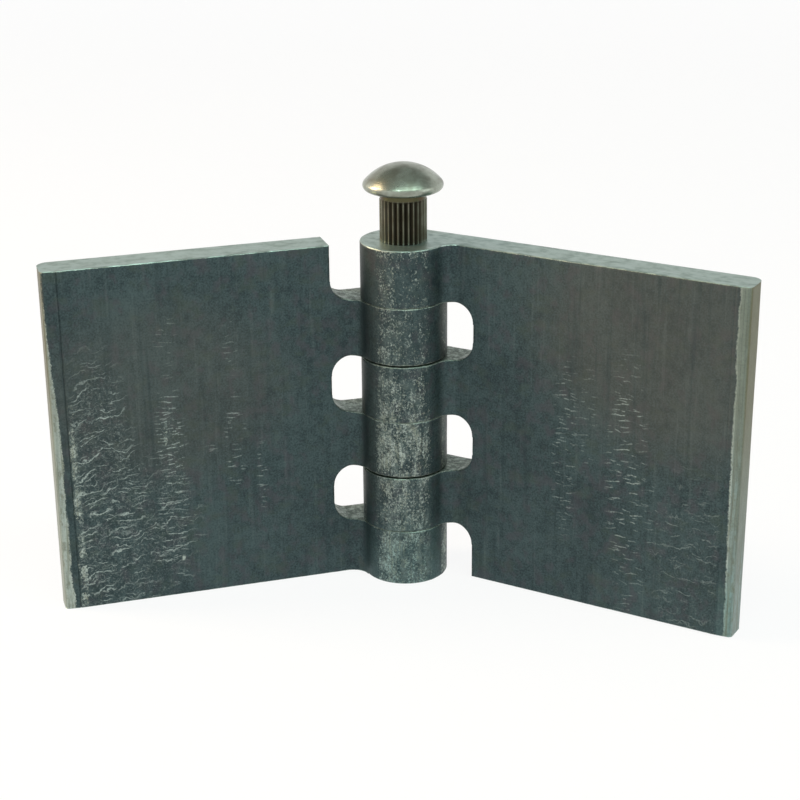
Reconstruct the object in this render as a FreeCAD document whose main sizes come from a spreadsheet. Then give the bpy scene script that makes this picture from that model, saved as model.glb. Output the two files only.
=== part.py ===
import FreeCAD, Part
import math
import os

import Sketcher
from FreeCAD import Vector

# Loose-pin weld-on butt hinge of heavy steel. Two like leaves are cut from one rolled bar with a
# round eye along its edge, notched into knuckles and bored. One is turned end for end, so the
# knuckles interleave, and a knurled pin with a mushroom head is dropped in from above.
# Z runs up the pin axis from the foot of the lowest knuckle. The left leaf reaches along -X with
# its flat back on the +Y side, and both leaves open towards -Y.

SIZES = (
    # leaf: the rolled bar
    ("leaf_height", "100", "length of bar in each leaf, mm"),
    ("leaf_reach", "100.5", "pin axis to the outer edge of a leaf, mm"),
    ("leaf_thick", "10.2", "thickness of the flat, mm"),
    ("barrel_dia", "24.6", "outside diameter of the eye, mm"),
    ("bore_dia", "12.7", "bore of the eye, mm"),
    ("root_radius", "5", "hollow where the front face runs into the eye, mm"),
    ("bevel_run", "4.3", "width of the sloping strip along the outer edge, mm"),
    ("bevel_fall", "0.4", "how far that strip falls away, mm"),
    ("front_corner", "1.4", "round between the strip and the outer edge, mm"),
    ("back_corner", "3.5", "round between the outer edge and the back, mm"),
    ("seam_width", "0.5", "width of the rolling seam inside the strip, mm"),
    ("seam_depth", "0.3", "depth of the rolling seam, mm"),
    ("edge_break", "0.35", "chamfer on the sawn ends and the knuckle faces, mm"),
    # leaf: knuckles and notches
    ("knuckle_count", "3", "knuckles on each leaf"),
    ("knuckle_play", "0.5", "how much taller a notch is than the knuckle in it, mm"),
    ("seat_rise", "0.5", "how far the upper leaf stands above the lower one, mm"),
    ("notch_gap", "8.5", "eye to the bottom of a notch, mm"),
    ("notch_corner", "6", "round in the corners of a notch, mm"),
    ("corner_land", "0.5", "straight kept beside a notch corner, mm"),
    ("open_angle", "133", "angle between the leaves as they stand, degrees"),
    # pin
    ("shank_gap", "0.08", "running clearance between shank and bore, on the radius, mm"),
    ("tip_recess", "1.2", "pin tip above the foot once the pin is driven home, mm"),
    ("tip_chamfer", "1.2", "chamfer on the pin tip, mm"),
    ("knurl_count", "28", "ridges round the knurl"),
    ("knurl_length", "12", "length of the knurl, mm"),
    ("knurl_grip", "0.25", "knurl crest outside the bore, on the radius, mm"),
    ("knurl_depth", "0.5", "depth of a knurl groove, mm"),
    ("knurl_vee", "90", "angle of a knurl groove, degrees"),
    ("knurl_lead", "0.15", "chamfer on the lower end of each ridge, mm"),
    ("neck_length", "2.3", "plain neck between knurl and head, mm"),
    ("neck_dia", "13", "diameter of the neck, mm"),
    ("head_dia", "22.4", "diameter of the head, mm"),
    ("head_height", "7.5", "height of the head, mm"),
    ("head_rim", "1.5", "round at the rim of the head, mm"),
    ("pin_turn", "2", "how the loose pin happens to be turned, degrees"),
)

# Sizes that follow from the sheet, as formulas the features are bound to.
BARREL = "sizes.barrel_dia / 2"
BORE = "sizes.bore_dia / 2"
SHANK = "(sizes.bore_dia / 2 - sizes.shank_gap)"
CREST = "(sizes.bore_dia / 2 + sizes.knurl_grip)"
# All knuckles are alike, so those of both leaves and the play between them fill the height.
KNUCKLE = ("((sizes.leaf_height + sizes.seat_rise - (sizes.knuckle_count - 1) * sizes.knuckle_play)"
           " / (2 * sizes.knuckle_count))")
NOTCH = "(" + KNUCKLE + " + sizes.knuckle_play)"
NOTCH_STEP = "(" + KNUCKLE + " + " + NOTCH + ")"
END_NOTCH = "(" + KNUCKLE + " + (sizes.knuckle_count - 1) * " + NOTCH_STEP + ")"
NOTCH_REACH = "(sizes.barrel_dia / 2 + sizes.notch_gap)"
NOTCH_CORNER = ("min(sizes.notch_corner; " + NOTCH + " / 2 - sizes.corner_land;"
                " sizes.notch_gap - sizes.corner_land)")
TOP = "(sizes.leaf_height + sizes.seat_rise)"
HOME_DROP = "(sizes.knurl_length + sizes.neck_length)"
SHANK_LENGTH = "(" + TOP + " - sizes.tip_recess - " + HOME_DROP + ")"
# A groove's two flanks are drawn out as far beyond the crest as its root lies inside the crest.
GROOVE_MOUTH = "(4 * sizes.knurl_depth * tan(sizes.knurl_vee / 2))"
# Half a turn about a level line: end for end, and swung to the open angle.
TURNED_OVER = ("placement(vector(0; 0; " + TOP + "); rotation(vector("
               "cos(sizes.open_angle / 2); sin(sizes.open_angle / 2); 0); 180))")
STANDING = "placement(vector(0; 0; " + TOP + "); rotation(vector(0; 0; 1); sizes.pin_turn))"

START, END, CENTRE = 1, 2, 3
ORIGIN = (-1, 1)
X_AXIS = -1
Y_AXIS = -2
UP = Vector(0, 0, 1)
FULL_TURN = 360
ON_PLANE = 1e-6
CUTTING = ("PartDesign::Pocket", "PartDesign::LinearPattern", "PartDesign::PolarPattern",
           "PartDesign::Chamfer")


def make_sheet(doc):
    """The spreadsheet of driving sizes: a name, its value and what it measures, one to a row."""
    sheet = doc.addObject("Spreadsheet::Sheet", "sizes")
    for row, (alias, number, note) in enumerate(SIZES, start=1):
        sheet.set("A%d" % row, alias)
        sheet.set("B%d" % row, number)
        sheet.set("C%d" % row, note)
        sheet.setAlias("B%d" % row, alias)
    doc.recompute()


def origin_feature(body, role):
    """The plane or axis of a body's own origin that has this role."""
    return next(item for item in body.Origin.OriginFeatures if item.Role == role)


def new_sketch(body, name, plane):
    """An empty sketch on one of the body's origin planes."""
    sketch = body.newObject("Sketcher::SketchObject", name)
    sketch.AttachmentSupport = (origin_feature(body, plane), [""])
    sketch.MapMode = "FlatFace"
    return sketch


def line(sketch, start, end):
    """A straight edge from one (x, y) to another."""
    return sketch.addGeometry(Part.LineSegment(Vector(*start, 0), Vector(*end, 0)))


def arc(sketch, centre, radius, first, last):
    """A round edge that turns anticlockwise between two angles in radians."""
    return sketch.addGeometry(Part.ArcOfCircle(Part.Circle(Vector(*centre, 0), UP, radius), first, last))


def relate(sketch, kind, *places):
    """A constraint that carries no size, such as Tangent or Horizontal."""
    sketch.addConstraint(Sketcher.Constraint(kind, *places))


def value(doc, formula):
    """What a formula gives now, to draw a sketch close to its solved shape."""
    return float(doc.sizes.evalExpression(formula))


def measure(sketch, kind, *places, size):
    """A dimension that the sheet drives through the formula given as its size."""
    now = value(sketch.Document, size)
    index = sketch.addConstraint(Sketcher.Constraint(kind, *places, now))
    sketch.setExpression("Constraints[%d]" % index, size)


def draw_section(sketch):
    """The rolled section: round eye, hollow root, flat with a sloping strip, and round corners."""
    doc = sketch.Document
    eye = value(doc, BARREL)
    front = eye - doc.sizes.leaf_thick
    root = doc.sizes.root_radius
    reach = doc.sizes.leaf_reach
    corner = doc.sizes.front_corner
    back_round = doc.sizes.back_corner
    root_y = front - root
    root_x = -math.sqrt((eye + root) ** 2 - root_y ** 2)
    strip_x = doc.sizes.bevel_run - reach
    low_y = front + doc.sizes.bevel_fall

    barrel = arc(sketch, (0, 0), eye, math.atan2(root_y, root_x), math.pi / 2)
    hollow = arc(sketch, (root_x, root_y), root, math.atan2(-root_y, -root_x), math.pi / 2)
    face = line(sketch, (root_x, front), (strip_x, front))
    strip = line(sketch, (strip_x, front), (corner - reach, low_y))
    front_arc = arc(sketch, (corner - reach, low_y + corner), corner, math.pi, 3 * math.pi / 2)
    edge = line(sketch, (-reach, low_y + corner), (-reach, eye - back_round))
    back_arc = arc(sketch, (back_round - reach, eye - back_round), back_round, math.pi / 2, math.pi)
    back = line(sketch, (back_round - reach, eye), (0, eye))

    relate(sketch, "Coincident", barrel, CENTRE, *ORIGIN)
    relate(sketch, "PointOnObject", barrel, END, Y_AXIS)
    relate(sketch, "Tangent", hollow, START, barrel, START)
    relate(sketch, "Tangent", face, START, hollow, END)
    relate(sketch, "Coincident", face, END, strip, START)
    relate(sketch, "Tangent", strip, END, front_arc, END)
    relate(sketch, "Tangent", edge, START, front_arc, START)
    relate(sketch, "Tangent", edge, END, back_arc, END)
    relate(sketch, "Tangent", back, START, back_arc, START)
    relate(sketch, "Tangent", back, END, barrel, END)
    relate(sketch, "Horizontal", face)
    relate(sketch, "Vertical", edge)
    measure(sketch, "Radius", barrel, size=BARREL)
    measure(sketch, "Radius", hollow, size="sizes.root_radius")
    measure(sketch, "Radius", front_arc, size="sizes.front_corner")
    measure(sketch, "Radius", back_arc, size="sizes.back_corner")
    measure(sketch, "DistanceX", edge, START, *ORIGIN, size="sizes.leaf_reach")
    measure(sketch, "DistanceY", face, END, back, START, size="sizes.leaf_thick")
    measure(sketch, "DistanceX", edge, START, face, END, size="sizes.bevel_run")
    measure(sketch, "DistanceY", strip, START, strip, END, size="sizes.bevel_fall")


def draw_bore(sketch):
    """The bore of the eye."""
    circle = sketch.addGeometry(Part.Circle(Vector(0, 0, 0), UP, value(sketch.Document, BORE)))
    relate(sketch, "Coincident", circle, CENTRE, *ORIGIN)
    measure(sketch, "Radius", circle, size=BORE)


def draw_notch(sketch):
    """The notch above the foot knuckle: it clears the eye and ends in two round corners."""
    doc = sketch.Document
    right = doc.sizes.barrel_dia
    left = -value(doc, NOTCH_REACH)
    low = value(doc, KNUCKLE)
    high = low + value(doc, NOTCH)
    turn = value(doc, NOTCH_CORNER)

    floor = line(sketch, (right, low), (left + turn, low))
    low_arc = arc(sketch, (left + turn, low + turn), turn, math.pi, 3 * math.pi / 2)
    wall = line(sketch, (left, low + turn), (left, high - turn))
    high_arc = arc(sketch, (left + turn, high - turn), turn, math.pi / 2, math.pi)
    roof = line(sketch, (left + turn, high), (right, high))
    mouth = line(sketch, (right, high), (right, low))

    relate(sketch, "Horizontal", floor)
    relate(sketch, "Vertical", wall)
    relate(sketch, "Horizontal", roof)
    relate(sketch, "Vertical", mouth)
    relate(sketch, "Coincident", mouth, END, floor, START)
    relate(sketch, "Coincident", mouth, START, roof, END)
    relate(sketch, "Tangent", floor, END, low_arc, END)
    relate(sketch, "Tangent", wall, START, low_arc, START)
    relate(sketch, "Tangent", wall, END, high_arc, END)
    relate(sketch, "Tangent", roof, START, high_arc, START)
    relate(sketch, "Equal", low_arc, high_arc)
    measure(sketch, "Radius", low_arc, size=NOTCH_CORNER)
    measure(sketch, "DistanceX", wall, START, *ORIGIN, size=NOTCH_REACH)
    measure(sketch, "DistanceX", *ORIGIN, mouth, START, size="sizes.barrel_dia")
    measure(sketch, "DistanceY", *ORIGIN, floor, START, size=KNUCKLE)
    measure(sketch, "DistanceY", floor, START, roof, END, size=NOTCH)


def draw_end_notch(sketch):
    """The notch above the top knuckle, which runs out through the end of the bar."""
    doc = sketch.Document
    right = doc.sizes.barrel_dia
    left = -value(doc, NOTCH_REACH)
    low = value(doc, END_NOTCH)
    high = low + value(doc, NOTCH)
    turn = value(doc, NOTCH_CORNER)

    floor = line(sketch, (right, low), (left + turn, low))
    low_arc = arc(sketch, (left + turn, low + turn), turn, math.pi, 3 * math.pi / 2)
    wall = line(sketch, (left, low + turn), (left, high))
    roof = line(sketch, (left, high), (right, high))
    mouth = line(sketch, (right, high), (right, low))

    relate(sketch, "Horizontal", floor)
    relate(sketch, "Vertical", wall)
    relate(sketch, "Horizontal", roof)
    relate(sketch, "Vertical", mouth)
    relate(sketch, "Coincident", wall, END, roof, START)
    relate(sketch, "Coincident", roof, END, mouth, START)
    relate(sketch, "Coincident", mouth, END, floor, START)
    relate(sketch, "Tangent", floor, END, low_arc, END)
    relate(sketch, "Tangent", wall, START, low_arc, START)
    measure(sketch, "Radius", low_arc, size=NOTCH_CORNER)
    measure(sketch, "DistanceX", wall, START, *ORIGIN, size=NOTCH_REACH)
    measure(sketch, "DistanceX", *ORIGIN, mouth, START, size="sizes.barrel_dia")
    measure(sketch, "DistanceY", *ORIGIN, floor, START, size=END_NOTCH)
    measure(sketch, "DistanceY", floor, START, roof, END, size=NOTCH)


def draw_seam(sketch):
    """The fine seam that rolling leaves in the front face, inside the sloping strip."""
    doc = sketch.Document
    middle = doc.sizes.bevel_run - doc.sizes.leaf_reach
    front = value(doc, BARREL) - doc.sizes.leaf_thick
    half = doc.sizes.seam_width / 2
    depth = doc.sizes.seam_depth

    inner = line(sketch, (middle + half, front), (middle, front + depth))
    outer = line(sketch, (middle, front + depth), (middle - half, front))
    proud = line(sketch, (middle - half, front), (middle - half, front - depth))
    under = line(sketch, (middle - half, front - depth), (middle + half, front - depth))
    rise = line(sketch, (middle + half, front - depth), (middle + half, front))

    relate(sketch, "Coincident", inner, END, outer, START)
    relate(sketch, "Coincident", outer, END, proud, START)
    relate(sketch, "Coincident", proud, END, under, START)
    relate(sketch, "Coincident", under, END, rise, START)
    relate(sketch, "Coincident", rise, END, inner, START)
    relate(sketch, "Equal", inner, outer)
    relate(sketch, "Horizontal", inner, START, outer, END)
    relate(sketch, "Vertical", proud)
    relate(sketch, "Horizontal", under)
    relate(sketch, "Vertical", rise)
    measure(sketch, "DistanceX", under, START, under, END, size="sizes.seam_width")
    measure(sketch, "DistanceX", inner, END, *ORIGIN, size="sizes.leaf_reach - sizes.bevel_run")
    measure(sketch, "DistanceY", inner, START, inner, END, size="sizes.seam_depth")
    measure(sketch, "DistanceY", under, END, inner, START, size="sizes.seam_depth")
    measure(sketch, "DistanceY", *ORIGIN, inner, END,
            size=BARREL + " - sizes.leaf_thick + sizes.seam_depth")


def cut_through(body, sketch, name):
    """Cut a sketch right through the body, to both sides of its plane."""
    pocket = body.newObject("PartDesign::Pocket", name)
    pocket.Profile = sketch
    pocket.SideType = "Symmetric"
    pocket.Type = "ThroughAll"
    return pocket


def knuckle_levels(doc):
    """Heights of the flat faces that lie across the pin axis: both ends and every notch side."""
    count = int(doc.sizes.knuckle_count)
    knuckle = value(doc, KNUCKLE)
    notch = value(doc, NOTCH)
    step = value(doc, NOTCH_STEP)
    floors = [knuckle + index * step for index in range(count)]
    roofs = [floor + notch for floor in floors[:-1]]
    return [0, doc.sizes.leaf_height] + floors + roofs


def outline_edges(shape, levels, bore):
    """Names of the edges round the flat faces at these heights, apart from the bore's own."""
    names = []
    for index, edge in enumerate(shape.Edges, start=1):
        box = edge.BoundBox
        flat = box.ZLength < ON_PLANE and any(abs(box.ZMin - level) < ON_PLANE for level in levels)
        if flat and not abs(getattr(edge.Curve, "Radius", 0) - bore) < ON_PLANE:
            names.append("Edge%d" % index)
    return names


def make_leaf(doc, label):
    """One leaf: the rolled bar, notched into knuckles, bored, its sharp edges broken."""
    body = doc.addObject("PartDesign::Body", label)
    body.Label = label

    section = new_sketch(body, label + "_section", "XY_Plane")
    draw_section(section)
    bar = body.newObject("PartDesign::Pad", label + "_bar")
    bar.Profile = section
    bar.setExpression("Length", "sizes.leaf_height")

    notch_outline = new_sketch(body, label + "_notch_outline", "XZ_Plane")
    draw_notch(notch_outline)
    notch = cut_through(body, notch_outline, label + "_notch")
    notches = body.newObject("PartDesign::LinearPattern", label + "_notches")
    notches.Originals = [notch]
    notches.Direction = (origin_feature(body, "Z_Axis"), [""])
    notches.Mode = "Spacing"
    notches.setExpression("Offset", NOTCH_STEP)
    notches.setExpression("Occurrences", "sizes.knuckle_count - 1")
    body.Tip = notches

    end_outline = new_sketch(body, label + "_end_notch_outline", "XZ_Plane")
    draw_end_notch(end_outline)
    cut_through(body, end_outline, label + "_end_notch")

    bore_circle = new_sketch(body, label + "_bore_circle", "XY_Plane")
    draw_bore(bore_circle)
    bore = cut_through(body, bore_circle, label + "_bore")
    doc.recompute()

    broken = body.newObject("PartDesign::Chamfer", label + "_broken_edges")
    broken.Base = (bore, outline_edges(bore.Shape, knuckle_levels(doc), value(doc, BORE)))
    broken.setExpression("Size", "sizes.edge_break")

    seam_outline = new_sketch(body, label + "_seam_outline", "XY_Plane")
    draw_seam(seam_outline)
    cut_through(body, seam_outline, label + "_seam")
    return body


def draw_pin(sketch):
    """Half the pin's section: chamfered tip, shank, knurl blank, neck and mushroom head."""
    doc = sketch.Document
    shank = value(doc, SHANK)
    length = value(doc, SHANK_LENGTH)
    crest = value(doc, CREST)
    lead = doc.sizes.knurl_lead
    tip = doc.sizes.tip_chamfer
    neck = doc.sizes.neck_dia / 2
    knurl_top = doc.sizes.knurl_length
    under = value(doc, HOME_DROP)
    rim = doc.sizes.head_rim
    rim_x = doc.sizes.head_dia / 2 - rim
    dome_rise = doc.sizes.head_height - rim
    dome = (rim_x ** 2 + dome_rise ** 2 - rim ** 2) / (2 * (dome_rise - rim))
    dome_z = under + doc.sizes.head_height - dome
    tangent = math.atan2(under + rim - dome_z, rim_x)

    outline = (
        (0, -length),
        (shank - tip, -length),
        (shank, tip - length),
        (shank, 0),
        (crest - lead, 0),
        (crest, lead),
        (crest, knurl_top),
        (neck, knurl_top),
        (neck, under),
        (rim_x, under),
    )
    edges = [line(sketch, first, last) for first, last in zip(outline, outline[1:])]
    bottom, tip_slope, side, step, slope, blank, shoulder, neck_side, underside = edges
    rim_arc = arc(sketch, (rim_x, under + rim), rim, -math.pi / 2, tangent)
    dome_arc = arc(sketch, (0, dome_z), dome, tangent, math.pi / 2)
    axis = line(sketch, (0, under + doc.sizes.head_height), (0, -length))

    for first, last in zip(edges, edges[1:]):
        relate(sketch, "Coincident", first, END, last, START)
    relate(sketch, "Tangent", underside, END, rim_arc, START)
    relate(sketch, "Tangent", rim_arc, END, dome_arc, START)
    relate(sketch, "Coincident", dome_arc, END, axis, START)
    relate(sketch, "Coincident", axis, END, bottom, START)
    relate(sketch, "PointOnObject", dome_arc, CENTRE, Y_AXIS)
    relate(sketch, "PointOnObject", axis, START, Y_AXIS)
    relate(sketch, "PointOnObject", axis, END, Y_AXIS)
    for level in (bottom, step, shoulder, underside):
        relate(sketch, "Horizontal", level)
    for upright in (side, blank, neck_side):
        relate(sketch, "Vertical", upright)
    relate(sketch, "PointOnObject", step, START, X_AXIS)
    measure(sketch, "DistanceX", *ORIGIN, side, END, size=SHANK)
    measure(sketch, "DistanceY", axis, END, *ORIGIN, size=SHANK_LENGTH)
    measure(sketch, "DistanceX", tip_slope, START, tip_slope, END, size="sizes.tip_chamfer")
    measure(sketch, "DistanceY", tip_slope, START, tip_slope, END, size="sizes.tip_chamfer")
    measure(sketch, "DistanceX", *ORIGIN, blank, START, size=CREST)
    measure(sketch, "DistanceX", slope, START, slope, END, size="sizes.knurl_lead")
    measure(sketch, "DistanceY", slope, START, slope, END, size="sizes.knurl_lead")
    measure(sketch, "DistanceY", *ORIGIN, blank, END, size="sizes.knurl_length")
    measure(sketch, "DistanceX", *ORIGIN, neck_side, START, size="sizes.neck_dia / 2")
    measure(sketch, "DistanceY", neck_side, START, neck_side, END, size="sizes.neck_length")
    measure(sketch, "Radius", rim_arc, size="sizes.head_rim")
    measure(sketch, "DistanceX", *ORIGIN, rim_arc, CENTRE, size="sizes.head_dia / 2 - sizes.head_rim")
    measure(sketch, "DistanceY", neck_side, END, axis, START, size="sizes.head_height")


def draw_groove(sketch):
    """One V groove of the knurl, pointing at the pin axis and open past the crest."""
    doc = sketch.Document
    root = value(doc, CREST) - doc.sizes.knurl_depth
    outer = value(doc, CREST) + doc.sizes.knurl_depth
    half = value(doc, GROOVE_MOUTH) / 2

    low = line(sketch, (root, 0), (outer, -half))
    mouth = line(sketch, (outer, -half), (outer, half))
    high = line(sketch, (outer, half), (root, 0))

    relate(sketch, "Coincident", low, END, mouth, START)
    relate(sketch, "Coincident", mouth, END, high, START)
    relate(sketch, "Coincident", high, END, low, START)
    relate(sketch, "Vertical", mouth)
    relate(sketch, "Equal", low, high)
    relate(sketch, "PointOnObject", low, START, X_AXIS)
    measure(sketch, "DistanceX", *ORIGIN, low, START, size=CREST + " - sizes.knurl_depth")
    measure(sketch, "DistanceX", *ORIGIN, mouth, START, size=CREST + " + sizes.knurl_depth")
    measure(sketch, "DistanceY", mouth, START, mouth, END, size=GROOVE_MOUTH)


def make_pin(doc, label):
    """The pin, turned in one piece; its ridges stand on the mouth of the top bore."""
    body = doc.addObject("PartDesign::Body", label)
    body.Label = label

    section = new_sketch(body, label + "_section", "XZ_Plane")
    draw_pin(section)
    turned = body.newObject("PartDesign::Revolution", label + "_turned")
    turned.Profile = section
    turned.ReferenceAxis = (origin_feature(body, "Z_Axis"), [""])
    doc.recompute()

    groove_outline = new_sketch(body, label + "_groove_outline", "XY_Plane")
    draw_groove(groove_outline)
    groove = body.newObject("PartDesign::Pocket", label + "_groove")
    groove.Profile = groove_outline
    groove.Reversed = True
    groove.setExpression("Length", "sizes.knurl_length")
    knurl = body.newObject("PartDesign::PolarPattern", label + "_knurl")
    knurl.Originals = [groove]
    knurl.Axis = (origin_feature(body, "Z_Axis"), [""])
    knurl.Angle = FULL_TURN
    knurl.setExpression("Occurrences", "sizes.knurl_count")
    body.Tip = knurl
    return body


def check(doc, pieces):
    """Stop unless every feature solved, each cut took metal away and each piece is one solid."""
    doc.recompute()
    for item in doc.Objects:
        if "Invalid" in item.State or "Error" in item.State:
            raise RuntimeError("%s failed: %s" % (item.Name, item.State))
    for piece in pieces:
        for item in piece.Group:
            if item.isDerivedFrom("Sketcher::SketchObject") and not item.FullyConstrained:
                raise RuntimeError("%s is not fully constrained" % item.Name)
            if item.TypeId in CUTTING and item.Shape.Volume >= item.BaseFeature.Shape.Volume:
                raise RuntimeError("%s cuts nothing" % item.Name)
        shape = piece.Shape
        if shape.isNull() or not shape.isValid() or len(shape.Solids) != 1:
            raise RuntimeError("%s is not one valid solid" % piece.Label)


def main():
    """Build the document, check it and write one STEP file for each piece."""
    doc = FreeCAD.newDocument("butt_hinge")
    make_sheet(doc)
    left_leaf = make_leaf(doc, "left_leaf")
    right_leaf = make_leaf(doc, "right_leaf")
    right_leaf.setExpression("Placement", TURNED_OVER)
    hinge_pin = make_pin(doc, "hinge_pin")
    hinge_pin.setExpression("Placement", STANDING)

    pieces = (left_leaf, right_leaf, hinge_pin)
    check(doc, pieces)
    os.makedirs("parts", exist_ok=True)
    for piece in pieces:
        piece.Shape.exportStep("parts/%s.step" % piece.Label)
        print("%-12s %10.1f mm3  %s" % (piece.Label, piece.Shape.Volume, piece.Shape.BoundBox))


main()
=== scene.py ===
"""Loose-pin weld-on butt hinge of hot-rolled steel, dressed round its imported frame.

Two like leaves are sawn from one rolled bar with a round eye along its edge. Each is a net of
four-sided cells over the bar's section, carried along the bar, with the notches left out. The
knurled pin is one surface of revolution. Lengths inside the classes are millimetres.
"""

import logging
import math
from dataclasses import dataclass, field
from enum import Enum
from typing import Any

import bpy
import numpy as np
from mathutils import Matrix, Vector

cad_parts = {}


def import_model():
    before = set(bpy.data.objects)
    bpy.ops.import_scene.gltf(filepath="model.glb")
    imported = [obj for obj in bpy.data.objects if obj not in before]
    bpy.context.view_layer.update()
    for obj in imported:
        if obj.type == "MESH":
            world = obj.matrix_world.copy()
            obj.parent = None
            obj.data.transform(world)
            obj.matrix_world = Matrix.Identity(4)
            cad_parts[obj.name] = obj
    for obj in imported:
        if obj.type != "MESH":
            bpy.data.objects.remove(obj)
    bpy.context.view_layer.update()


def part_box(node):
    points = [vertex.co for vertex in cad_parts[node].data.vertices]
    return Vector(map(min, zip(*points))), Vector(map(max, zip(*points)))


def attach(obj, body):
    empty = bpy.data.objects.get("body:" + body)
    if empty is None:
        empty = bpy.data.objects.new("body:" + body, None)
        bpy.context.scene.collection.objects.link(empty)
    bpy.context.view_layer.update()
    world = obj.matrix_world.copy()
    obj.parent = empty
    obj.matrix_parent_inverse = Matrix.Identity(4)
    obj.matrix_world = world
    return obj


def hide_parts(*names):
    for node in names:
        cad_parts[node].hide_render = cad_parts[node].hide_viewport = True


LOG = logging.getLogger("butt_hinge")
METRES = 0.001
PLACE = "bar_place"
WEAR = "wear"
CREASED = "creased"
TICKED = "ticked"
WARMTH = "warmth"
GLOW = "glow"
MIX_FACTOR, MIX_FROM, MIX_TO, MIX_RESULT = 0, 6, 7, 2


class Surface(Enum):
    """How a stretch of the leaf's surface was made; the value is its material slot."""

    ROLLED = 0
    SAWN = 1
    BORED = 2
    NOTCHED = 3


def linear(hex_colour: str) -> tuple[float, float, float, float]:
    """Turn an sRGB hex colour into the linear colour that a socket takes.

    Args:
        hex_colour: six hex digits after a hash.

    Returns:
        Linear red, green, blue and an alpha of one.
    """
    parts = [int(hex_colour[i:i + 2], 16) / 255 for i in (1, 3, 5)]
    return (*(p / 12.92 if p <= 0.04045 else ((p + 0.055) / 1.055) ** 2.4 for p in parts), 1.0)


def add(tree: bpy.types.NodeTree, kind: str, sockets: dict | None = None, **settings: Any) -> bpy.types.Node:
    """Add one node, with its settings and its inputs.

    Args:
        tree: the node tree to add to.
        kind: the node's type.
        sockets: for each input, by name or number, a value or another node's output to link.
        settings: the node's own properties.

    Returns:
        The new node.
    """
    node = tree.nodes.new(kind)
    for name, setting in settings.items():
        setattr(node, name, setting)
    for key, value in (sockets or {}).items():
        if isinstance(value, bpy.types.NodeSocket):
            tree.links.new(value, node.inputs[key])
        else:
            node.inputs[key].default_value = value
    return node


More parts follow.
